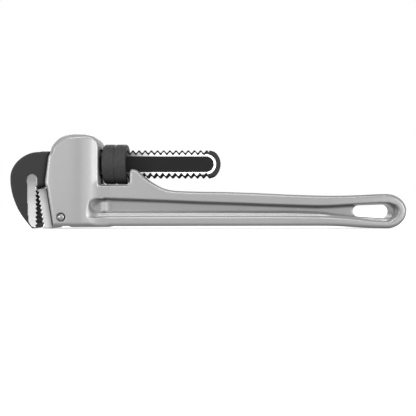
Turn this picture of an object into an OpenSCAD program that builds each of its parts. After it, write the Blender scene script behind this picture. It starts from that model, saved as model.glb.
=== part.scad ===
// Straight pipe wrench, 350 mm class, with a cast aluminium handle and forged steel jaws.
// Frame: +X runs to the end of the handle, +Z from the open side of the jaws to the crown of the
// head, and the thickness lies along Y. The lowest edge is z = 0. Everything is in millimetres.

/* [Output] */
// which piece to draw, or all of them

/* [Shank and thread] */
// height of the shank's axis
shank_z = 47.6;
// radius over the thread crests
crest_r = 10.6;
// radius at the thread roots
root_r = 8.3;
pitch = 4.6;
// thickness over the machined sides of the thread
shank_t = 8.8;
// thickness over the sunk central band
band_t = 8.1;
band_half = 5.4;
// a crest of the top row stands here
crest_x = -56.2;
first_turn = -11;
last_turn = 12;
shank_end_r = 11.7;
shank_end_x = 9.4;

/* [Adjusting nut] */
nut_r = 14.9;
nut_len = 17.5;
nut_x = -77.2;
thread_gap = 0.25;

/* [Handle] */
head_w = 34;
bar_w = 22;
web_t = 7;
// right-hand wall of the head, which the nut bears on
wall_x = -79.5;
lug_x = -57.8;
window_z = 31.9;
channel_w = 9.4;
channel_top = 58.9;
channel_floor = 33.4;
end_x = 130.9;
end_rx = 14.6;
end_rz = 12.6;

/* [Jaws] */
hook_w = 19;
heel_w = 26;
tooth = 1.3;
hook_pitch = 3.12;
heel_pitch = 3.2;
// tooth line of the hook jaw, and how far the heel jaw's line leans
hook_face = -124.9;
heel_lean = 9;

/* [Pins and springs] */
heel_pin_r = 2.4;
heel_pin_x = -105.7;
heel_pin_z = 8.3;
eye_x = -84;
eye_z = 34.2;
eye_r = 2.2;
spring_pin_r = 1.3;
leaf_t = 0.9;
leaf_w = 7.6;
leaf_end = -111.5;
rivet_x = -104;
coil_r = 3.4;
wire_r = 0.5;
coil_z = 24;

/* [Hidden] */
$fn = 64;

// ---------- helpers ----------

// points on part of an ellipse about (cx, cz), from angle a to angle b
function arc(cx, cz, rx, rz, a, b, n) =
    [for (i = [0 : n]) let (t = a + (b - a) * i / n) [cx + rx * cos(t), cz + rz * sin(t)]];

// a side outline given a thickness w, centred on the plane of the wrench
module plate(points, w) {
    rotate([90, 0, 0]) linear_extrude(height = w, center = true) polygon(points);
}

// a round bar across the wrench, with its axis at (x, z)
module across(x, z, r, w) {
    translate([x, 0, z]) rotate([90, 0, 0]) cylinder(r = r, h = w, center = true);
}

// a round bar along the wrench, on the shank's axis
module along(x, r, len) {
    translate([x, 0, shank_z]) rotate([0, 90, 0]) cylinder(r = r, h = len);
}

module box(x0, x1, w, z0, z1) {
    translate([x0, -w / 2, z0]) cube([x1 - x0, w, z1 - z0]);
}

// ---------- screw thread ----------

// corners of one thread turn, as shares of the pitch measured from the middle of a crest
corner_at = [-0.14, 0.14, 0.36, 0.64];
function on_crest(i) = i % 4 < 2;

// row i of the thread grid: where it lies along the axis, and its radius; g widens both
function row_u(i, g) = crest_x + pitch * (floor(i / 4) + corner_at[i % 4])
    + g * [-0.8, 0.8, 0.8, -0.8][i % 4];
function row_r(i, g) = (on_crest(i) ? crest_r : root_r) + g;

// two triangles for the grid cell with corners a b c d
function cell(a, b, c, d) = [[a, b, c], [a, c, d]];
function flat(lists) = [for (l = lists) each l];

// one side of the shank's thread: a strip of helical teeth over the flat core
module thread_strip(side) {
    ny = 8;
    rows = 4 * (last_turn - first_turn) + (side > 0 ? 6 : 2);
    half = shank_t / 2 - 0.05;
    phase = side > 0 ? 0 : pitch / 2;
    function y(j) = half * (2 * j / ny - 1);
    function point(i, j, top) =
        let (k = i + 4 * first_turn + 398, r = row_r(k, 0), u = row_u(k, 0) - 100 * pitch)
        [u + phase - pitch * asin(side * y(j) / r) / 360, y(j),
         top ? sqrt(r * r - y(j) * y(j)) : band_half];
    points = [for (i = [0 : rows - 1], t = [0, 1], j = [0 : ny]) point(i, j, t == 1)];
    function id(i, t, j) = (i * 2 + t) * (ny + 1) + j;
    faces = flat([
        for (i = [0 : rows - 2], j = [0 : ny - 1])
            cell(id(i, 1, j), id(i, 1, j + 1), id(i + 1, 1, j + 1), id(i + 1, 1, j)),
        for (i = [0 : rows - 2], j = [0 : ny - 1])
            cell(id(i, 0, j), id(i + 1, 0, j), id(i + 1, 0, j + 1), id(i, 0, j + 1)),
        for (i = [0 : rows - 2]) cell(id(i, 0, 0), id(i, 1, 0), id(i + 1, 1, 0), id(i + 1, 0, 0)),
        for (i = [0 : rows - 2]) cell(id(i, 0, ny), id(i + 1, 0, ny), id(i + 1, 1, ny), id(i, 1, ny)),
        for (j = [0 : ny - 1]) cell(id(0, 0, j), id(0, 0, j + 1), id(0, 1, j + 1), id(0, 1, j)),
        for (j = [0 : ny - 1])
            cell(id(rows - 1, 0, j), id(rows - 1, 1, j), id(rows - 1, 1, j + 1), id(rows - 1, 0, j + 1))
    ]);
    translate([0, 0, shank_z]) scale([1, 1, side]) polyhedron(points, faces);
}

// a whole round screw, wider than the thread by g, that cuts the nut's own thread
module thread_cutter(g) {
    nt = 36;
    turns = 7;
    rows = 4 * turns;
    first = 4 * (100 - 6);
    function point(i, j) = let (k = first + i, r = row_r(k, g), t = 360 * j / nt)
        [row_u(k, g) - 100 * pitch + pitch * j / nt, -r * sin(t), r * cos(t)];
    points = concat([for (i = [0 : rows - 1], j = [0 : nt - 1]) point(i, j)],
                    [[row_u(first, g) - 100 * pitch + pitch / 2, 0, 0],
                     [row_u(first + rows - 5, g) - 100 * pitch + pitch / 2, 0, 0]]);
    // one step past the last column is the first column, one turn further along
    function id(i, j) = j < nt ? i * nt + j : (i + 4) * nt;
    a = rows * nt;
    faces = flat([
        for (i = [0 : rows - 6], j = [0 : nt - 1])
            cell(id(i, j), id(i + 1, j), id(i + 1, j + 1), id(i, j + 1)),
        [for (j = [0 : nt - 1]) [a, id(0, j), id(0, j + 1)]],
        [for (i = [0 : 3]) [a, id(i + 1, 0), id(i, 0)]],
        [for (j = [0 : nt - 1]) [a + 1, id(rows - 5, j + 1), id(rows - 5, j)]],
        [for (i = [rows - 5 : rows - 2]) [a + 1, id(i, 0), id(i + 1, 0)]]
    ]);
    translate([0, 0, shank_z]) polyhedron(points, faces);
}

// ---------- handle ----------

// side outline of the grip, moved inwards by e
function bar_outline(e) = concat(
    [[-96, 1.7 + e], [-96, 24], [-90, 31.7 - e], [lug_x + e, 31.7 - e], [lug_x + e, 42 - e],
     [-56.6 + 0.4 * e, 43.5 - e], [-53.6 - 0.4 * e, 43.5 - e]],
    arc(-22, 63.4, 35.8 + e, 35.8 + e, 216, 266, 8),
    [[12, 26.9 - e], [60, 24.8 - e], [90, 24.1 - e], [112, 24.6 - e]],
    arc(end_x, end_rz, end_rx - e, end_rz - e, 90, -90, 20),
    [[104, 1.2 + e], [88, 1.8 + e]]);

// side outline of the part of the casting under and ahead of the window
head_outline = concat(
    [[-111.9, 1.6], [-116.3, 29.9], [-117.2, 30.2], [-117.9, 33.6], [-114.8, 55]],
    arc(-108.8, 60.4, 5.2, 5.2, 175, 122, 5),
    arc(-96.3, 37.4, 31.8, 31.8, 112, 90, 6),
    arc(-96.3, 37.4, 36, 31.8, 86, 73, 4),
    arc(wall_x - 4.4, 63.2, 4.4, 4.4, 70, 0, 5),
    [[wall_x, window_z], [-66, window_z], [-66, 1.6]]);

// the head seen from above, and from its front
half_plan = [[-119, 13.5], [-114, 17], [-91, 17], [-82.8, 13.2], [-80.4, 11], [-79.2, 8.5], [-66, 8.5]];
head_plan = concat(half_plan,
    [for (i = [len(half_plan) - 1 : -1 : 0]) [half_plan[i][0], -half_plan[i][1]]]);
head_front = [[-17.4, 4.4], [-17.4, 58], [-15.6, 63.5], [-12.6, 66.8], [-7, 69], [0, 69.6], [7, 69],
              [12.6, 66.8], [15.6, 63.5], [17.4, 58], [17.4, 4.4], [14.5, 1.5], [-14.5, 1.5]];

// the hollow in each side of the grip: the deep part, and a shallow ledge along its lower edge
recess = concat(
    arc(-84.5, 14.6, 4.5, 4, 90, 270, 8),
    [[60, 10.6], [92, 10], [112, 7]],
    arc(124.5, 11.3, 13, 7.4, -80, 80, 14),
    [[106, 17.4], [86, 16.5], [40, 17.8], [-6, 19.4], [-72, 21.6], [-80, 20.4]]);
ledge = concat(
    arc(-84.5, 13, 5.6, 5, 180, 270, 5),
    [[60, 7.8], [88, 7.4], [108, 6.1], [122, 4.2], [128, 3.9], [128, 12]],
    [[-84, 14]]);

module side_hollows() {
    for (s = [-1, 1]) {
        translate([0, s * (web_t / 2 + 10), 0]) plate(recess, 20);
        translate([0, s * (7.6 + 10), 0]) plate(ledge, 20);
    }
}

// the slot at the end of the handle that it hangs by
module hang_slot() {
    plate(concat(arc(112.5, 12.8, 4.4, 4.1, 90, 270, 10), arc(131.2, 12.5, 5, 5, -90, 90, 10)), 40);
}

module handle() color([0.70, 0.70, 0.71]) difference() {
    union() {
        intersection() {
            plate(head_outline, head_w + 4);
            translate([0, 0, -1]) linear_extrude(height = 80) polygon(head_plan);
            translate([-130, 0, 0]) rotate([90, 0, 90]) linear_extrude(height = 80) polygon(head_front);
        }
        plate(bar_outline(0), bar_w - 5);
        plate(bar_outline(0.9), bar_w - 1.6);
        plate(bar_outline(2), bar_w);
    }
    side_hollows();
    hang_slot();
    // way for the shank, through the head and between the two ears of the lug
    box(-125, wall_x + 1, channel_w, channel_floor, channel_top);
    box(eye_x - 3.2, wall_x + 1, channel_w, 31.4, channel_floor + 1);
    box(lug_x - 1, -40, channel_w, 36, 60);
    // pocket for the coil spring, and the blind hole for the pin of the flat spring
    translate([rivet_x, 0, coil_z]) cylinder(r = coil_r + wire_r + 0.5, h = 12);
    translate([eye_x, 0, eye_z]) rotate([90, 0, 0])
        translate([0, 0, -head_w / 2 - 1]) cylinder(r = spring_pin_r, h = head_w / 2 + 11);
    // mortise for the heel jaw's tenon, and the hole of its pin with a countersink at each face
    heel_tenon(0.1);
    across(heel_pin_x, heel_pin_z, heel_pin_r, head_w + 2);
    for (s = [-1, 1]) translate([heel_pin_x, s * (head_w / 2 - 1), heel_pin_z])
        rotate([-90 * s, 0, 0]) cylinder(r1 = heel_pin_r, r2 = heel_pin_r + 1, h = 1.2);
}

// ---------- jaws ----------

// the tongue behind the heel jaw, larger all round by g
module heel_tenon(g) {
    plate([[-114 - g, 3.4 - g], [-100 + g, 3.4 - g], [-100 + g, 21 + g], [-114 - g, 21 + g]], 14 + 2 * g);
}

// saw teeth down a line: crest at the start of each step, valley just under halfway
function teeth(x, z, step, n, lean, depth) = flat([for (i = [0 : n - 1])
    let (c = z - step * i, v = z - step * (i + 0.45))
    [[x + (z - c) * tan(lean), c], [x + (z - v) * tan(lean) + depth, v]]]);

heel_outline = concat(
    [[-111.9, 1.2], [-116.35, 29.55], [-123, 28.6]],
    teeth(-123.9, 27.6, heel_pitch, 8, heel_lean, tooth),
    [[-119.7, 2], [-120.1, 0]],
    [[-113, 0]]);

module heel_jaw() color([0.80, 0.80, 0.80]) difference() {
    union() {
        plate(heel_outline, heel_w - 2.4);
        intersection() {
            plate(heel_outline, heel_w);
            box(-124.6, -100, 40, 1.2, 28.4);
        }
        heel_tenon(0);
    }
    across(heel_pin_x, heel_pin_z, heel_pin_r, 40);
}

module heel_pin() color([0.55, 0.55, 0.56]) {
    across(heel_pin_x, heel_pin_z, heel_pin_r, head_w - 0.6);
}

// back of the hook jaw, moved inwards by e
function hook_back(e) = concat(
    arc(-128, 36.6, 17.5 - e, 20.2 - e, 92, 182, 12),
    [[-144.7 + e, 29], [-143.2 + e, 21.5], [-140.2 + e, 14.2], [-136.6 + e, 8.2], [-132.6 + e * 0.7, 3],
     [-129.8 + e * 0.4, 0.5 + e * 0.8], [-128.3, e], [-126.6 - e * 0.3, e]]);

hook_teeth = teeth(0, 28.6, hook_pitch, 9, 0, -1.4);
function hook_front(e) = concat(
    [for (i = [len(hook_teeth) - 1 : -1 : 0]) [hook_face + hook_teeth[i][0] - e, hook_teeth[i][1]]],
    [[hook_face - e, 30.3], [-118.5 - e, 31.2 + e],
     [-119 - e, 33.6], [-115.8 - e, 55 - e], [-116 - e, 56.8 - e]]);

module hook_jaw() color([0.25, 0.25, 0.26]) {
    difference() {
        union() {
            // the jaw itself
            plate(concat(hook_back(0), hook_front(0)), hook_w - 5);
            plate(concat(hook_back(1.1), hook_front(0)), hook_w - 1.6);
            plate(concat(hook_back(2.4), hook_front(0.6)), hook_w);
            // neck between the jaw and the thread
            intersection() {
                box(-122, crest_x + pitch * (first_turn - 0.4), shank_t, 37.2, 56.6);
                along(-123, crest_r, 30);
            }
            // core of the threaded length
            intersection() {
                along(-110, root_r - 0.2, 112);
                box(-112, 4, band_t, 30, 70);
            }
            // plain end
            intersection() {
                along(crest_x + pitch * (last_turn + 0.4), crest_r, 20);
                box(-4, 12, shank_t, 30, 70);
                across(shank_end_x - shank_end_r, shank_z, shank_end_r, 20);
            }
            thread_strip(1);
            thread_strip(-1);
        }
        // the sunk band runs on a little way into the plain end
        for (s = [-1, 1]) translate([0, s * (band_t / 2 + 2.03), 0])
            across(-2.1, shank_z, band_half - 0.05, 4);
    }
}

// ---------- adjusting nut ----------

module adjusting_nut() color([0.30, 0.30, 0.31]) difference() {
    translate([nut_x, 0, shank_z]) rotate([0, 90, 0]) rotate_extrude()
        polygon([[0, 0], [nut_r - 1.6, 0], [nut_r - 0.4, 0.6], [nut_r, 1.8], [nut_r, nut_len / 2 - 0.8],
                 [nut_r - 0.6, nut_len / 2], [nut_r, nut_len / 2 + 0.8], [nut_r, nut_len - 1.8],
                 [nut_r - 0.4, nut_len - 0.6], [nut_r - 1.6, nut_len], [0, nut_len]]);
    thread_cutter(thread_gap);
}

// ---------- springs and their pins ----------

leaf_top = eye_z + eye_r;

module flat_spring() color([0.45, 0.47, 0.50]) difference() {
    union() {
        across(eye_x, eye_z, eye_r, leaf_w);
        box(leaf_end, eye_x, leaf_w, leaf_top - leaf_t, leaf_top);
    }
    across(eye_x, eye_z, spring_pin_r + 0.05, 20);
    translate([rivet_x, 0, 30]) cylinder(r = 1, h = 10);
}

module spring_rivet() color([0.60, 0.60, 0.58]) translate([rivet_x, 0, leaf_top]) {
    translate([0, 0, -leaf_t - 0.7]) cylinder(r = 1.9, h = 0.7);
    translate([0, 0, -leaf_t - 0.1]) cylinder(r = 1, h = leaf_t + 0.15);
    cylinder(r1 = 1.9, r2 = 1.5, h = 0.3);
}

module spring_pin() color([0.60, 0.60, 0.60]) {
    translate([eye_x, head_w / 2 - 2, eye_z]) rotate([90, 0, 0])
        cylinder(r = spring_pin_r, h = head_w / 2 - 2 + 9.5);
}

// an open coil from the bottom of its pocket up to the flat spring
module coil_spring() {
    turns = 5;
    steps = 16 * turns;
    n = 8;
    height = leaf_top - leaf_t - coil_z - 2 * wire_r - 0.1;
    function ring(k) = let (a = 360 * k * turns / steps, z = coil_z + wire_r + 0.05 + height * k / steps)
        [for (j = [0 : n - 1]) let (b = 360 * j / n, r = coil_r + wire_r * cos(b))
            [r * cos(a), r * sin(a), z + wire_r * sin(b)]];
    faces = flat([
        for (k = [0 : steps - 1], j = [0 : n - 1]) let (m = (j + 1) % n)
            cell(k * n + j, k * n + m, (k + 1) * n + m, (k + 1) * n + j),
        [[for (j = [n - 1 : -1 : 0]) j]],
        [[for (j = [0 : n - 1]) steps * n + j]]
    ]);
    color([0.62, 0.62, 0.64]) translate([rivet_x, 0, 0])
        polyhedron(flat([for (k = [0 : steps]) ring(k)]), faces);
}

// ---------- assembly ----------

handle();
heel_jaw();
heel_pin();
hook_jaw();
adjusting_nut();
flat_spring();
spring_rivet();
spring_pin();
coil_spring();
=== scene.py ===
import math

import bmesh
import bpy
import numpy as np
import openvdb
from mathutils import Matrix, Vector


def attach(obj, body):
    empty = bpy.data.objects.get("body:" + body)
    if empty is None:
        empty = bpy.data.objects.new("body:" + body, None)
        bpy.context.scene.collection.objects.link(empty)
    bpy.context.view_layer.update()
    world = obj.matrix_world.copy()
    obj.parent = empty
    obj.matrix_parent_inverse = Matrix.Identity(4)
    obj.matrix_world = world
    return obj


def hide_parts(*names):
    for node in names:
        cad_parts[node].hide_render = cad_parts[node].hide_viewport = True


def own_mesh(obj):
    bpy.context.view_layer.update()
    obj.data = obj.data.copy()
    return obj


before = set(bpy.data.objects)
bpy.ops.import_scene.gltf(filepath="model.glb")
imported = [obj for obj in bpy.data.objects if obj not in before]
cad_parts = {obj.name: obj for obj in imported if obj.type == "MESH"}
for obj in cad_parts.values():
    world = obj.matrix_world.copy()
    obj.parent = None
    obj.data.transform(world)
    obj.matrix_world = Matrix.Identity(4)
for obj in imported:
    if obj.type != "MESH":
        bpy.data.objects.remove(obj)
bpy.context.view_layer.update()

# Shapes are worked out in millimetres and stored in metres.
MM = 0.001

# ---------- the wrench's main sizes, in millimetres ----------

# shank of the hook jaw, and the thread along it
SHANK_Z, SHANK_HALF, JAW_END_X = 47.6, 4.4, -108.6
CREST_R, ROOT_R, PITCH, CREST_X = 10.6, 8.75, 4.6, -56.2
# share of the pitch that half a crest takes, and the share that the flank beside it takes
CREST_SHARE, FLANK_SHARE = 0.07, 0.36
# band sunk into each side of the shank
BAND_Z, BAND_R, BAND_X, BAND_HALF = 47.45, 5.75, -1.5, 4.05
# window for the nut, from the wall of the head to the lug
WALL_X, LUG_X, WINDOW_Z = -79.5, -57.8, 32.55
# half widths of the head, the grip's bar, the step in its hollow and its web
HEAD_HALF, BAR_HALF, STEP_HALF, WEB_HALF = 17.0, 11.0, 7.4, 3.5
# centre of the round end of the grip
END_X = 130.9
# pin of the heel jaw, and the slope of the jaw's back as a unit vector in x and z
PIN_X, PIN_Z = -105.7, 8.3
BACK_SLOPE = (28.1 / 28.44, 4.4 / 28.44)
# axis of the coil spring and the ends of its wire's path
COIL_X, COIL_LOW, COIL_HIGH = -104, 24.6, 35.4


# ---------- shapes as distance fields ----------

class Field:
    """A block of space with X, Y and Z laid out for broadcasting."""

    def __init__(self, lo, hi, step):
        self.lo, self.step = lo, step
        n = [int(math.ceil((b - a) / step)) + 1 for a, b in zip(lo, hi)]
        self.X = (lo[0] + step * np.arange(n[0]))[:, None, None].astype(np.float32)
        self.Y = (lo[1] + step * np.arange(n[1]))[None, :, None].astype(np.float32)
        self.Z = (lo[2] + step * np.arange(n[2]))[None, None, :].astype(np.float32)


def outline(points, U, V):
    """Signed distance to a closed outline, negative inside, for coordinates U and V."""
    U, V = np.broadcast_arrays(U, V)
    d = np.full(U.shape, 1e9, np.float32)
    inside = np.zeros(U.shape, bool)
    for (ax, ay), (bx, by) in zip(points, points[1:] + points[:1]):
        ex, ey = bx - ax, by - ay
        length2 = ex * ex + ey * ey
        if length2 < 1e-12:
            continue
        px, py = U - ax, V - ay
        t = np.clip((px * ex + py * ey) / length2, 0, 1)
        d = np.minimum(d, (px - t * ex) ** 2 + (py - t * ey) ** 2)
        crosses = (ay > V) != (by > V)
        if ay != by:
            inside ^= crosses & (U < ax + (V - ay) / (by - ay) * ex)
    d = np.sqrt(d)
    return np.where(inside, -d, d)


def both(a, b, r=0.0):
    """Inside a and inside b, with the outer edge rounded to radius r."""
    if np.isscalar(r) and r <= 0:
        return np.maximum(a, b)
    u, v = np.maximum(a + r, 0), np.maximum(b + r, 0)
    return np.minimum(np.maximum(a, b), -r) + np.sqrt(u * u + v * v)


def either(a, b, r=0.0):
    """Inside a or inside b, with the inner corner filleted to radius r."""
    return -both(-a, -b, r)


def without(a, b, r=0.0):
    """Inside a and outside b, with the edge rounded to radius r."""
    return both(a, -b, r)


def meet(*fields):
    """Inside all of the fields, with sharp edges."""
    d = fields[0]
    for other in fields[1:]:
        d = np.maximum(d, other)
    return d


def within(axis, low, high):
    """Between two planes across one axis."""
    return np.maximum(low - axis, axis - high)


def round_bar(U, V, u, v):
    """Distance from a line across the U and V axes."""
    return np.sqrt((U - u) ** 2 + (V - v) ** 2)


def ease(t):
    """Rises smoothly from 0 to 1 as t does, and stays level outside."""
    t = np.clip(t, 0, 1)
    return t * t * (3 - 2 * t)


def arc(cx, cz, rx, rz, a, b, n=24):
    """Points along part of an ellipse, from angle a to angle b in degrees."""
    angles = [math.radians(a + (b - a) * i / n) for i in range(n + 1)]
    return [(cx + rx * math.cos(t), cz + rz * math.sin(t)) for t in angles]


def smooth_line(points, n=8):
    """A curve through points that keeps their order, as a longer list of points."""
    out = []
    for i in range(len(points) - 1):
        p0 = points[max(i - 1, 0)]
        p1, p2 = points[i], points[i + 1]
        p3 = points[min(i + 2, len(points) - 1)]
        for k in range(n):
            t = k / n
            out.append(tuple(0.5 * (2 * p1[c] + (p2[c] - p0[c]) * t
                                    + (2 * p0[c] - 5 * p1[c] + 4 * p2[c] - p3[c]) * t * t
                                    + (3 * p1[c] - p0[c] - 3 * p2[c] + p3[c]) * t ** 3) for c in (0, 1)))
    return out + [points[-1]]


def mesh_object(name, co, faces, sharp_angle=None):
    """A smooth-shaded object from points in millimetres."""
    me = bpy.data.meshes.new(name)
    me.from_pydata([tuple(v) for v in np.array(co) * MM], [], faces)
    me.update()
    me.validate()
    me.polygons.foreach_set("use_smooth", [True] * len(me.polygons))
    ob = bpy.data.objects.new(name, me)
    bpy.context.scene.collection.objects.link(ob)
    if sharp_angle is not None:
        me.set_sharp_from_angle(angle=math.radians(sharp_angle))
    return ob


def solid_from(name, field, d):
    """Turns a distance field into a mesh object."""
    grid = openvdb.FloatGrid(background=3.0)
    grid.copyFromArray(np.ascontiguousarray(np.clip(d, -3, 3).astype(np.float32)))
    co, tris, quads = grid.convertToPolygons(isovalue=0.0, adaptivity=0.0)
    co = np.array(co, np.float64) * field.step + np.array(field.lo)
    # openvdb winds its faces inwards for a field that is negative inside
    faces = [tuple(int(i) for i in face[::-1]) for group in (quads, tris) for face in group]
    return mesh_object(name, co, faces)


def grid_faces(rows, across, closed):
    """Faces between rows of points that each run round in a ring; closed joins the last row to the first."""
    faces = []
    for i in range(rows if closed else rows - 1):
        here, there = i * across, (i + 1) % rows * across
        for j in range(across):
            k = (j + 1) % across
            faces.append((here + j, here + k, there + k, there + j))
    return faces


# ---------- the handle ----------

def handle_body(X, Y, Z):
    """The casting, before anything is cut out of it."""
    side = np.abs(Y)
    top_edge = smooth_line([(-52.2, 42.9), (-49.0, 40.0), (-45.3, 36.6), (-41.4, 33.9), (-37.6, 31.7),
                            (-33.9, 29.9), (-30.0, 28.6), (-25.0, 27.7), (-18, 27.3), (-4, 26.9), (12, 26.7),
                            (36, 25.9), (60, 24.8), (80, 24.15), (95, 24.0), (110, 24.4), (122, 25.0),
                            (END_X - 1.5, 25.2)])
    low_edge = smooth_line([(126, 0.05), (112, 0.6), (98, 1.5), (86, 1.85), (60, 1.85), (0, 1.8), (-60, 1.7),
                            (-99, 1.7)])
    bar = outline([(-100, 1.7), (-100, 24), (-90, 34), (LUG_X, 34), (LUG_X, 41.5)]
                  + arc(LUG_X + 2.4, 41.3, 2.4, 2.3, 180, 62, 6) + top_edge
                  + arc(END_X, 12.6, 14.5, 12.6, 88, -88, 40) + low_edge, X, Z)
    crown_edge = smooth_line([(-114.6, 56.6), (-113.4, 60.0), (-111.0, 63.1), (-107.6, 66.2), (-102.6, 68.5),
                              (-96.6, 69.15), (-90.5, 68.9), (-86.2, 68.2), (-83.4, 67.1), (-81.4, 65.3),
                              (-80.1, 63.0), (WALL_X, 60)])
    head = outline([(-111.9, 1.9), (-116.3, 29.9), (-117.2, 30.2), (-117.9, 33.8), (-114.9, 54.5)]
                   + crown_edge + [(WALL_X, 31), (-72, 31), (-72, 2.1)], X, Z)
    half_plan = smooth_line([(-119.5, 14.6), (-117.6, 15.6), (-114.6, 16.7), (-110, HEAD_HALF),
                             (-103, HEAD_HALF), (-99, 16.93), (-95.5, 16.65), (-92, 16.05), (-88.5, 15.1),
                             (-85, 14.0), (-82.6, 13.1), (-80, 12.1), (-77.5, 11.2), (-75, 10.2), (-72, 8)])
    plan = outline(half_plan + [(x, -y) for x, y in reversed(half_plan)], X, Y)
    edge_r = np.interp(X, [-118.5, -112, -86, -80.5], [1.3, 3.0, 2.6, 1.2]).astype(np.float32)
    d = np.maximum(both(head, plan, edge_r), side - HEAD_HALF + 0.01)
    # the crown slopes in above a soft edge that runs over it and down behind
    lower = (-7 * ease((56 - Z) / 10)).astype(np.float32)
    d = both(d, (side - 12.2 + 1.35 * head) / 1.68 + lower, 0.9)
    return either(d, both(bar, side - BAR_HALF, 2.6), 3.0)


def cut_hollow(d, X, side, Z):
    """Cuts the hollow in each side of the grip, in two steps.

    Its left end slopes down from the face of the head.
    """
    upper = smooth_line([(124, 18.5), (106, 17.6), (86, 16.6), (67, 16.9), (40, 17.8), (16, 18.7),
                         (-6, 19.4), (-35, 20.6), (-66, 21.7), (-76, 22.0)])
    outer = outline(arc(-83.4, 15.15, 7.2, 6.85, 90, 270) + [(60, 8.3), (84, 8.0)]
                    + smooth_line([(90, 7.8), (108, 6.5), (122, 4.9), (128, 4.4)])
                    + arc(129.0, 11.6, 13.0, 7.2, -82, 80, 20) + upper, X, Z)
    inner = outline(arc(-80.5, 16.45, 5.0, 5.55, 90, 270) + [(60, 10.8), (80, 10.4)]
                    + smooth_line([(86, 10.0), (94, 9.0), (104, 8.2), (112, 7.8), (122, 7.3), (128, 6.8)])
                    + arc(129.0, 12.4, 12.0, 6.0, -72, 80, 20) + upper, X, Z)
    draft = 0.25 * np.clip(side - WEB_HALF, 0, 13.5)
    depth_at = (20.5 - 0.895 * (X + 95)).astype(np.float32)
    left_ramp = (depth_at - side) / 1.35
    right_ramp = (X - 133.2 - 0.95 * (side - WEB_HALF)) / 1.38
    # a roof over the left end leans down and inwards
    face_at = np.interp(X, [-91, -88, -84.5, -82, -80.5, -79], [16.3, 15.1, 13.9, 12.9, 11.8, 11.0])
    reach = np.maximum(face_at - depth_at, 0.8)
    low = np.interp(X, [-89, -84.4, -82, -80, -76], [15.6, 16.2, 18.2, 20.0, 22.2])
    drop = np.maximum(21.7 - low, 0)
    lean = drop * np.clip((side - depth_at) / reach, -0.5, 1.5)
    roof = (Z - low - lean) / np.sqrt(1 + (drop / reach) ** 2)
    roof = np.where(X > -76, -20, roof).astype(np.float32)
    # the first cut stays clear of the second cut's roof and ramps, so that the two share no surface
    pocket = both(both(outer + 1.9 - draft, roof + 1.2, 0.8), right_ramp + 3, 3.0)
    d = without(d, both(pocket, both(left_ramp + 1.2, STEP_HALF - side, 3.0), 1.2), 0.9)
    pocket = both(both(inner + 1.0 - draft * 0.6, roof, 0.8), right_ramp, 3.0)
    return without(d, both(pocket, both(left_ramp, WEB_HALF - side, 3.5), 1.6), 0.8)


def cut_ways(d, X, Y, side, Z):
    """Cuts the way for the shank, and the holes and pockets for the springs, the pins and the heel jaw."""
    way_half = 4.7
    shank_way = both(within(Z, 33.4, 58.9), side - way_half, 0.6)
    d = without(d, meet(shank_way, within(X, -125, WALL_X + 3)), 0.4)
    lug_way = meet(side - way_half, 36 - Z, within(X, LUG_X - 4, -38))
    d = without(d, lug_way, 0.5)
    spring_slot = meet(side - way_half, within(Z, 31.3, 35), within(X, -87.2, -79))
    d = without(d, spring_slot)
    coil_pocket = meet(round_bar(X, Y, COIL_X, 0) - 4.4, within(Z, 24, 36))
    d = without(d, coil_pocket)
    spring_pin_hole = meet(round_bar(X, Z, -84, 34.2) - 1.35, -10 - Y)
    d = without(d, spring_pin_hole)
    mortise = meet(side - 7.1, within(X, -125, -99.9), within(Z, 3.3, 21.1))
    d = without(d, mortise)
    heel_pin = round_bar(X, Z, PIN_X, PIN_Z)
    d = without(d, heel_pin - 2.45)
    return without(d, meet(heel_pin - 3.25, HEAD_HALF - 1.5 - side), 0.25)


def build_handle():
    f = Field((-120, -18.2, -1), (147, 18.2, 71), 0.45)
    X, Y, Z = f.X, f.Y, f.Z
    side = np.abs(Y)
    d = handle_body(X, Y, Z)
    # the floor of the nut's window is crowned from front to back
    window = both(WINDOW_Z - 0.0095 * Y * Y - Z, X - LUG_X, 0.8)
    window = both(window, WALL_X - X, 2.0)
    d = without(d, meet(window, 20 - Z), 0.7)
    d = cut_hollow(d, X, side, Z)
    hang_slot = outline(arc(112.0, 12.8, 4.3, 4.15, 90, 270, 20) + arc(131.7, 12.5, 5.1, 5.1, -90, 90, 20),
                        X, Z)
    d = without(d, hang_slot, 0.9)
    return solid_from("handle_casting", f, cut_ways(d, X, Y, side, Z))


# ---------- the hook jaw ----------

# the flat ground on each side of the hook jaw, next to its teeth
GROUND = ([(-124.6, 0.9), (-127.0, 0.9), (-128.6, 1.4), (-130.3, 2.8), (-131.3, 5.0), (-131.9, 12),
           (-132.4, 28)] + arc(-128.85, 36.0, 3.7, 3.9, 180, 0, 14) + [(-124.9, 30.8), (-124.0, 29.5)])


def thread_dip(u):
    """How far the thread is cut in, 0 to 1, where u is the distance from the nearest crest in pitches."""
    t = np.clip((u - CREST_SHARE) / FLANK_SHARE, 0, 1)
    return 0.45 * t + 0.55 * t * t * (3 - 2 * t)


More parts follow.
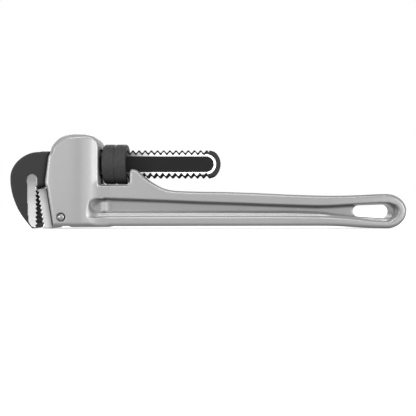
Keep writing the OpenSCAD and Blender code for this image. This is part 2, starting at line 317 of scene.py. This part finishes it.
def hook_outline():
    """The hook jaw from the side: its back, its nine teeth and its neck."""
    back = smooth_line([(-116.5, 56.4), (-122, 56.4), (-127.5, 56.1), (-132.0, 54.9), (-136.4, 52.6),
                        (-140.2, 49.4), (-142.6, 46.4), (-144.2, 43.4), (-145.1, 40.6), (-145.45, 38.0),
                        (-145.45, 35.0), (-145.2, 31.5), (-144.6, 28.0), (-143.7, 24.0), (-142.4, 20.2),
                        (-140.8, 16.2), (-138.8, 12.2), (-136.4, 8.4), (-133.6, 4.8), (-131.4, 2.0),
                        (-129.6, 0.5), (-128.2, 0.05), (-126.6, 0.3), (-125.9, 1.2)], 6)
    valley_x, crest_x, tooth_pitch = -126.3, -124.95, 3.12
    teeth = []
    for i in reversed(range(9)):
        top = 28.6 - tooth_pitch * i
        teeth += [(valley_x, top - 1.45), (crest_x, top - 0.25), (crest_x, top)]
    neck = [(-124.9, 30.3), (-118.7, 31.2), (-119.1, 33.6), (-116.0, 55.4)]
    return back + teeth + neck


def threaded_rod(X, Y, side, Z, axis_r):
    """The thread, cut round and then flattened on both sides, with its rounded end and its sunk bands."""
    turn = np.arctan2(-Y, Z - SHANK_Z) / (2 * math.pi)
    u = (X - CREST_X) / PITCH - turn
    u = np.abs(u - np.round(u))
    thread = (axis_r - (CREST_R - (CREST_R - ROOT_R) * thread_dip(u))) * 0.72
    thread = both(thread, side - SHANK_HALF, 0.2)
    thread = meet(thread, within(X, -110, 1.6))
    end = both(round_bar(X, Z, -2.3, SHANK_Z) - 11.7, axis_r - CREST_R, 1.6)
    end = both(end, side - SHANK_HALF, 0.6)
    rod = either(thread, meet(end, 0.9 - X), 0.3)
    band = outline([(-118, BAND_Z - BAND_R), (BAND_X, BAND_Z - BAND_R)]
                   + arc(BAND_X, BAND_Z, BAND_R, BAND_R, -90, 90, 16) + [(-118, BAND_Z + BAND_R)], X, Z)
    return without(rod, meet(band, BAND_HALF - side, JAW_END_X - X), 0.1)


def build_hook():
    f = Field((-146.5, -10, -1), (10.5, 10, 59.5), 0.4)
    X, Y, Z = f.X, f.Y, f.Z
    side = np.abs(Y)
    jaw = outline(hook_outline(), X, Z)
    # the body of the jaw is forged and soft-edged, and its edges are crisp beside the teeth
    d = both(jaw, side - 9.5, 2.6)
    crisp = both(jaw, side - 9.5, 0.35)
    beside_teeth = outline([(-129.4, -3), (-129.4, 29.3), (-122, 29.3), (-122, -3)], X, Z)
    d = either(d, meet(crisp, beside_teeth))
    d = without(d, meet(outline(GROUND, X, Z), 9.25 - side), 0.2)
    axis_r = np.sqrt(Y ** 2 + (Z - SHANK_Z) ** 2)
    shank = meet(side - SHANK_HALF, within(Z, 37.2, 56.6))
    shank = both(shank, axis_r - CREST_R, 0.8)
    d = either(d, meet(shank, within(X, -123, JAW_END_X)), 2.0)
    d = either(d, threaded_rod(X, Y, side, Z, axis_r), 0.3)
    return solid_from("hook_jaw_forging", f, d)


# ---------- the smaller pieces ----------

def build_heel():
    """The heel jaw: a block with eight leaning teeth, and the tenon that holds it in the head."""
    f = Field((-125.5, -14, -1), (-99, 14, 31), 0.32)
    X, Y, Z = f.X, f.Y, f.Z
    side = np.abs(Y)
    top, tooth_pitch, tooth_depth = 27.6, 3.2, 1.25
    lean = math.tan(math.radians(9))
    teeth = []
    for i in range(8):
        crest, valley = top - tooth_pitch * i, top - tooth_pitch * (i + 0.45)
        crest_x = -123.9 + (top - crest) * lean
        valley_x = -123.9 + (top - valley) * lean + tooth_depth
        teeth += [(crest_x, crest + 0.1), (crest_x, crest - 0.15), (valley_x, valley)]
    block = outline([(-112.0, 1.5), (-116.4, 29.6), (-123.0, 28.7)] + teeth
                    + [(-119.8, 2.0), (-120.0, 0.1), (-113.2, 0.1)], X, Z)
    d = both(block, side - 13, 0.5)
    back = (X + 112.0) * BACK_SLOPE[0] + (Z - 1.5) * BACK_SLOPE[1]
    d = without(d, meet(-0.75 - back, 12.1 - side), 0.2)
    tenon = meet(within(X, -114, -100), within(Z, 3.4, 21))
    d = either(d, both(tenon, side - 7, 0.3))
    d = without(d, round_bar(X, Z, PIN_X, PIN_Z) - 2.42)
    return solid_from("heel_jaw_block", f, d)


def groove(share):
    """Depth of one groove of the knurl, 0 to 1, across one repeat of its pattern."""
    return math.exp(-((share % 1.0 - 0.5) / 0.16) ** 2)


def build_nut():
    """A knurled ring with an internal thread: rings of points along the outside and back along the bore."""
    across, length, start_x = 360, 17.5, -77.2
    outer_r, corner_r, waist = 14.85, 1.6, 0.55
    knurl_pitch, knurl_depth, clearance = 1.35, 0.22, 0.24
    outside_rows, bore_rows = 97, 61
    co = []

    def add_ring(along, radius_at):
        for j in range(across):
            a = 2 * math.pi * j / across
            r = radius_at(a)
            co.append((start_x + along, -r * math.sin(a), SHANK_Z + r * math.cos(a)))

    for i in range(outside_rows):
        s = length * i / (outside_rows - 1)
        from_end, from_middle = min(s, length - s), abs(s - length / 2)
        inset = max(corner_r - from_end, 0.0)
        r = outer_r - corner_r + math.sqrt(corner_r ** 2 - inset ** 2)
        r -= waist * math.exp(-(from_middle / waist) ** 2)
        depth = 0.0 if from_end < 1.7 or from_middle < 1.1 else knurl_depth
        add_ring(s, lambda a: r - depth * max(groove(s / knurl_pitch + 30 * a / math.pi),
                                              groove(s / knurl_pitch - 30 * a / math.pi)))
    for i in range(bore_rows):
        s = length * (1 - i / (bore_rows - 1))
        mouth_r = CREST_R + 0.9 - min(s, length - s) * 1.2

        def bore_at(a):
            u = (start_x + s - CREST_X) / PITCH - a / (2 * math.pi)
            dip = float(thread_dip(abs(u - round(u))))
            return max(CREST_R + clearance - (CREST_R - ROOT_R) * dip, mouth_r)

        add_ring(s, bore_at)
    faces = grid_faces(outside_rows + bore_rows, across, closed=True)
    return mesh_object("adjusting_nut_ring", co, faces, sharp_angle=40)


def build_pin():
    """The heel jaw's pin, turned about its axis across the head, with a domed end on each side."""
    across = 64
    angles = [math.radians(t) for t in range(0, 91, 9)]
    cap = [(-16.95 + 1.1 * (1 - math.cos(t)), 2.4 * math.sin(t)) for t in angles]
    profile = cap + [(-t, r) for t, r in reversed(cap)]
    co = []
    for t, r in profile:
        for j in range(across):
            a = 2 * math.pi * j / across
            co.append((PIN_X + r * math.cos(a), t, PIN_Z + r * math.sin(a)))
    ob = mesh_object("heel_pin_bar", co, grid_faces(len(profile), across, closed=False), sharp_angle=35)
    # the rings at the tips close to a point
    bm = bmesh.new()
    bm.from_mesh(ob.data)
    bmesh.ops.remove_doubles(bm, verts=bm.verts, dist=1e-6)
    bmesh.ops.recalc_face_normals(bm, faces=bm.faces)
    bm.to_mesh(ob.data)
    bm.free()
    return ob


def build_coil():
    """The coil spring's round wire, cut flat where it meets the casting and the leaf."""
    turns, per_turn, across = 5, 40, 12
    coil_r, wire_r = 3.4, 0.5
    flat_low, flat_high = 24.05, 35.45
    steps = turns * per_turn
    co = []
    for k in range(steps + 1):
        a = 2 * math.pi * k / per_turn
        middle = COIL_LOW + (COIL_HIGH - COIL_LOW) * k / steps
        for j in range(across):
            t = 2 * math.pi * j / across
            r = coil_r + wire_r * math.cos(t)
            z = min(max(middle + wire_r * math.sin(t), flat_low), flat_high)
            co.append((COIL_X + r * math.cos(a), r * math.sin(a), z))
    faces = grid_faces(steps + 1, across, closed=False)
    faces += [tuple(reversed(range(across))), tuple(steps * across + j for j in range(across))]
    return mesh_object("coil_spring_wire", co, faces)


# ---------- materials ----------

class Term:
    """A number that shader nodes work out over a surface, for use in plain arithmetic."""

    def __init__(self, tree, socket):
        self.tree, self.socket = tree, socket

    def step(self, operation, *others):
        node = self.tree.nodes.new("ShaderNodeMath")
        node.operation = operation
        for slot, value in zip(node.inputs, (self, *others)):
            if isinstance(value, Term):
                self.tree.links.new(value.socket, slot)
            else:
                slot.default_value = value
        return Term(self.tree, node.outputs[0])

    def __add__(self, other):
        return self.step("ADD", other)

    def __sub__(self, other):
        return self.step("SUBTRACT", other)

    def __rsub__(self, other):
        return self.step("MULTIPLY_ADD", -1.0, other)

    def __mul__(self, other):
        return self.step("MULTIPLY", other)

    def __truediv__(self, other):
        return self.step("DIVIDE", other)

    def __abs__(self):
        return self.step("ABSOLUTE")

    def __lt__(self, other):
        return self.step("LESS_THAN", other)

    def __gt__(self, other):
        return self.step("GREATER_THAN", other)

    def at_least(self, other):
        return self.step("MAXIMUM", other)

    def at_most(self, other):
        return self.step("MINIMUM", other)

    def root(self):
        return self.step("SQRT")

    def mapped(self, start, end, low, high):
        """Runs from low to high as this number runs from start to end, and stays level outside."""
        node = self.tree.nodes.new("ShaderNodeMapRange")
        for name, value in (("From Min", start), ("From Max", end), ("To Min", low), ("To Max", high)):
            node.inputs[name].default_value = value
        self.tree.links.new(self.socket, node.inputs["Value"])
        return Term(self.tree, node.outputs["Result"])


def material(name, colour, metallic, rough):
    mat = bpy.data.materials.new(name)
    mat.use_nodes = True
    shader = mat.node_tree.nodes["Principled BSDF"]
    shader.inputs["Base Color"].default_value = (*colour, 1)
    shader.inputs["Metallic"].default_value = metallic
    shader.inputs["Roughness"].default_value = rough
    return mat, mat.node_tree, shader


def join(term, shader, name):
    """Feeds a term into one of the shader's inputs."""
    term.tree.links.new(term.socket, shader.inputs[name])


def object_space(tree, output="Object"):
    """X, Y and Z of the point, or with "Normal" of the direction that the surface faces, as terms."""
    where = tree.nodes.new("ShaderNodeTexCoord")
    parts = tree.nodes.new("ShaderNodeSeparateXYZ")
    tree.links.new(where.outputs[output], parts.inputs["Vector"])
    return [Term(tree, parts.outputs[axis]) for axis in "XYZ"]


def noise(tree, scale, detail):
    """Noise that is fixed to the piece, as a term from 0 to 1."""
    where = tree.nodes.new("ShaderNodeTexCoord")
    node = tree.nodes.new("ShaderNodeTexNoise")
    node.inputs["Scale"].default_value = scale
    node.inputs["Detail"].default_value = detail
    tree.links.new(where.outputs["Object"], node.inputs["Vector"])
    return Term(tree, node.outputs["Fac"])


def grain(tree, shader, scale, low, high, bump_scale, strength, distance):
    """Uneven roughness from low to high, and a fine surface texture; gives the roughness back."""
    rough = noise(tree, scale, 4.0).mapped(0.0, 1.0, low, high)
    join(rough, shader, "Roughness")
    bump = tree.nodes.new("ShaderNodeBump")
    bump.inputs["Strength"].default_value = strength
    bump.inputs["Distance"].default_value = distance
    tree.links.new(noise(tree, bump_scale, 3.0).socket, bump.inputs["Height"])
    tree.links.new(bump.outputs["Normal"], shader.inputs["Normal"])
    return rough


def plain_metal(name, colour, metallic, low, high, scale, bump_scale, strength, distance):
    """A metal of one colour, with grain."""
    mat, tree, shader = material(name, colour, metallic, (low + high) / 2)
    grain(tree, shader, scale, low, high, bump_scale, strength, distance)
    return mat, shader


def height_tone(tree, stops, top=0.04):
    """A grey that follows (share of the height, grey) stops, from the floor up to top in metres."""
    ramp = tree.nodes.new("ShaderNodeValToRGB")
    ramp.color_ramp.interpolation = "EASE"
    while len(ramp.color_ramp.elements) < len(stops):
        ramp.color_ramp.elements.new(0.5)
    for element, (place, grey) in zip(ramp.color_ramp.elements, stops):
        element.position = place
        element.color = (grey, grey, grey, 1)
    z = object_space(tree)[2]
    tree.links.new(z.mapped(0.0, top, 0.0, 1.0).socket, ramp.inputs["Fac"])
    return Term(tree, ramp.outputs["Color"])


def cast_aluminium():
    mat, tree, shader = material("cast_aluminium", (0.19, 0.19, 0.192), 0.5, 0.40)
    rough = grain(tree, shader, 60, 0.33, 0.41, 900, 0.25, 0.00008)
    x, y, z = object_space(tree)
    facing_up = object_space(tree, "Normal")[2]
    # painted highlight on the upward faces of the two steps of the hollow, painted shade on faces turned
    # down, and painted shade that darkens the grip towards its end
    in_hollow = (z < 12.2 * MM) * (abs(y) < 11.2 * MM)
    bright = (facing_up - 0.12).at_least(0.0) * 0.19 * in_hollow
    under = (facing_up + 0.1).at_most(0.0) * 0.11
    end_painted_shade = (x - 0.04).at_least(0.0) * 0.38
    tone = bright + 0.19 + under - end_painted_shade
    # painted shade that dulls the highlight where the left end of the hollow runs out on the web
    foot_shade = (1.0 - abs(x + 76.9 * MM) / (2.4 * MM)).at_least(0.0)
    tone = tone * (1.0 - foot_shade * (abs(y) < 7.2 * MM) * 0.62)
    # painted shadow on the floor of the window, under the nut
    window_middle, window_half = (WALL_X + LUG_X) / 2 * MM, (LUG_X - WALL_X) / 2 * MM
    nut_shadow = abs(x - window_middle) < window_half
    nut_shadow = nut_shadow * (abs(z - (WINDOW_Z - 0.5) * MM) < 1.6 * MM) * (abs(y) < 9.8 * MM)
    tone = tone * (1.0 - nut_shadow * 0.75)
    # the top of the grip has a rougher as-cast skin, and painted shade darkens it where the lamps glint
    on_grip = (z > 20 * MM) * (x > (LUG_X + 2) * MM)
    dull_top_and_shade = (facing_up - 0.7).at_least(0.0) * on_grip * 1.8
    join(rough + dull_top_and_shade, shader, "Roughness")
    join(tone * (1.0 - dull_top_and_shade), shader, "Base Color")
    return mat


def black_oxide():
    """Black oxide, worn bright on the machined sides of the thread and round the end of the sunk band."""
    mat, tree, shader = material("black_oxide", (0.013, 0.013, 0.013), 0.0, 0.5)
    grain(tree, shader, 80, 0.5, 0.65, 700, 0.3, 0.0001)
    x, y, z = object_space(tree)
    past_band = (x - BAND_X * MM).at_least(0.0)
    over_band = z - BAND_Z * MM
    reach = (past_band * past_band + over_band * over_band).root()
    # round the end of the band the rim is 1.75 mm wide, and before it the rim runs out to the teeth
    rim_r, open_rim_r, rim_start_x = 7.5 * MM, 17.5 * MM, -4.5 * MM
    in_rim = reach < (x < rim_start_x) * (open_rim_r - rim_r) + rim_r
    on_side = abs(y) > (SHANK_HALF - 0.12) * MM
    off_band = reach > (BAND_R + 0.02) * MM
    on_shank = x > -108 * MM
    # the oxide stays on the edge of each thread, so the height of the thread is worked out here too
    rise = z - SHANK_Z * MM
    turn = (y * -1.0).step("ARCTAN2", rise) / (2 * math.pi)
    along = (x - CREST_X * MM) / (PITCH * MM) - turn
    from_crest = abs(along - along.step("ROUND"))
    fall = ((from_crest - CREST_SHARE) / FLANK_SHARE).at_least(0.0).at_most(1.0)
    top = fall * ((ROOT_R - CREST_R) * MM) + CREST_R * MM
    below_edge = (top - (y * y + rise * rise).root()) > 0.95 * MM
    worn = on_side * off_band * in_rim * on_shank * below_edge
    join(worn, shader, "Metallic")
    flat = on_side.at_least(1.0 - on_shank)
    join(worn * 0.35 + flat * 0.15, shader, "Specular IOR Level")
    # painted shading: the bare metal is dark next to the nut and brightens away from it
    bare_metal_and_shade = x.mapped(-59.7 * MM, -34 * MM, 0.08, 0.70)
    join(worn * (bare_metal_and_shade - 0.012) + 0.012, shader, "Base Color")
    return mat


def ground_land():
    """The hook jaw's ground land, with painted shading that makes it bright at the tip and darker higher up.
    """
    mat, tree, shader = material("ground_steel_shaded", (0.6, 0.6, 0.6), 1.0, 0.34)
    grain(tree, shader, 200, 0.28, 0.42, 1500, 0.1, 0.00005)
    join(height_tone(tree, [(0.0, 0.41), (0.35, 0.35), (0.65, 0.25), (0.95, 0.145)]), shader, "Base Color")
    return mat


def heel_metal():
    """The heel jaw's steel, with painted shading that darkens it higher up, and painted shadow along its
    back.
    """
    mat, tree, shader = material("heel_steel", (0.6, 0.6, 0.6), 1.0, 0.36)
    grain(tree, shader, 200, 0.30, 0.44, 1500, 0.1, 0.00005)
    # painted shading, darker higher up
    tone = height_tone(tree, [(0.0, 0.37), (0.4, 0.31), (0.6, 0.24), (0.75, 0.15)])
    x, _, z = object_space(tree)
    to_back = x * BACK_SLOPE[0] + z * BACK_SLOPE[1]
    # painted shadow along the back, where the head's edge shades the jaw
    join(tone * to_back.mapped(-0.1150, -0.1105, 1.0, 0.35), shader, "Base Color")
    return mat


nut_black, nut_shader = plain_metal("nut_oxide", (0.015, 0.015, 0.015), 0.0, 0.45, 0.6, 120, 900, 0.2, 0.0001)
nut_shader.inputs["Specular IOR Level"].default_value = 0.2
pin_steel, _ = plain_metal("pin_steel", (0.20, 0.20, 0.20), 1.0, 0.22, 0.34, 300, 1500, 0.05, 0.00005)
spring, _ = plain_metal("spring_steel", (0.35, 0.36, 0.39), 1.0, 0.3, 0.4, 300, 1500, 0.05, 0.00005)


# ---------- the pieces in place ----------

def dress(ob, mat, slot_name, body, *nodes):
    """Gives a piece its material, hides the CAD nodes that it replaces and hangs it on the body that it rides
    on; slot_name is not used.
    """
    ob.data.materials.clear()
    ob.data.materials.append(mat)
    if nodes:
        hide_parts(*nodes)
    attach(ob, body)
    return ob


def paint_ground(ob, mat):
    """A second material on the faces of the flat that is ground beside the hook jaw's teeth."""
    me = ob.data
    me.materials.append(mat)
    centres = np.zeros(len(me.polygons) * 3)
    normals = np.zeros(len(me.polygons) * 3)
    me.polygons.foreach_get("center", centres)
    me.polygons.foreach_get("normal", normals)
    x, y, z = centres.reshape(-1, 3).T / MM
    sideways = np.abs(normals.reshape(-1, 3)[:, 1]) > 0.7
    ground = (np.abs(y) > 9.0) & sideways & (outline(GROUND, x, z) < 0)
    me.polygons.foreach_set("material_index", ground.astype(np.int32))


dress(build_handle(), cast_aluminium(), "cast_aluminium", "frame", "handle")
hook = dress(build_hook(), black_oxide(), "black_steel", "hook", "hook_jaw")
paint_ground(hook, ground_land())
dress(build_heel(), heel_metal(), "bright_steel", "frame", "heel_jaw")
dress(build_nut(), nut_black, "nut_steel", "nut", "adjusting_nut")
dress(build_pin(), pin_steel, "pin_steel", "frame", "heel_pin")

# CAD nodes that are shown as they are
for name, mat in (("flat_spring", spring), ("spring_rivet", pin_steel), ("spring_pin", pin_steel)):
    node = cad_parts[name]
    node.data.materials.clear()
    node.data.materials.append(mat)

# the coil spring gets a mesh of its own
coil = dress(build_coil(), spring, "spring_steel", "frame", "coil_spring")
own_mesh(coil)

# ---------- floor, light and camera ----------

bpy.ops.mesh.primitive_plane_add(size=8, location=(0, 0, -0.0002))
floor = bpy.context.object
floor.name = "floor"
paper, _, paper_shader = material("paper", (0.45, 0.45, 0.45), 0.0, 0.9)
paper_shader.inputs["Emission Color"].default_value = (1, 1, 1, 1)
paper_shader.inputs["Emission Strength"].default_value = 0.6
floor.data.materials.append(paper)

world = bpy.data.worlds.new("studio")
bpy.context.scene.world = world
world.use_nodes = True
world.node_tree.nodes["Background"].inputs["Color"].default_value = (1, 1, 1, 1)
world.node_tree.nodes["Background"].inputs["Strength"].default_value = 1.0


def softbox(name, at, size, watts, to=(0, 0, 0.03)):
    """A soft area light that faces the wrench."""
    lamp = bpy.data.lights.new(name, "AREA")
    lamp.shape = "RECTANGLE"
    lamp.size, lamp.size_y = size
    lamp.energy = watts
    ob = bpy.data.objects.new(name, lamp)
    bpy.context.scene.collection.objects.link(ob)
    ob.location = at
    ob.rotation_mode = "QUATERNION"
    ob.rotation_quaternion = (Vector(to) - Vector(at)).to_track_quat("-Z", "Y")


softbox("top", (0.0, -0.62, 0.88), (1.2, 0.4), 9.5)
softbox("left", (-1.3, -0.9, 0.3), (0.6, 0.6), 11)
softbox("front", (-0.6, -1.6, 0.4), (1.0, 0.8), 4)
softbox("right", (1.85, -2.35, 0.1), (0.8, 0.9), 84)
softbox("back", (-0.4, 1.2, 0.9), (0.8, 0.5), 8)

# the camera's distance from the wrench's middle plane, and the width that it sees there, in metres
DISTANCE, VIEW_WIDTH = 0.390, 0.312
camera = bpy.data.cameras.new("camera")
camera.sensor_width = 36
camera.lens = camera.sensor_width * DISTANCE / VIEW_WIDTH
camera.clip_start = 0.01
camera.clip_end = 50
eye = bpy.data.objects.new("camera", camera)
bpy.context.scene.collection.objects.link(eye)
eye.location = (0, -DISTANCE, 0.015)
eye.rotation_euler = (math.radians(90), 0, 0)
bpy.context.scene.camera = eye
bpy.context.scene.view_settings.view_transform = "Standard"
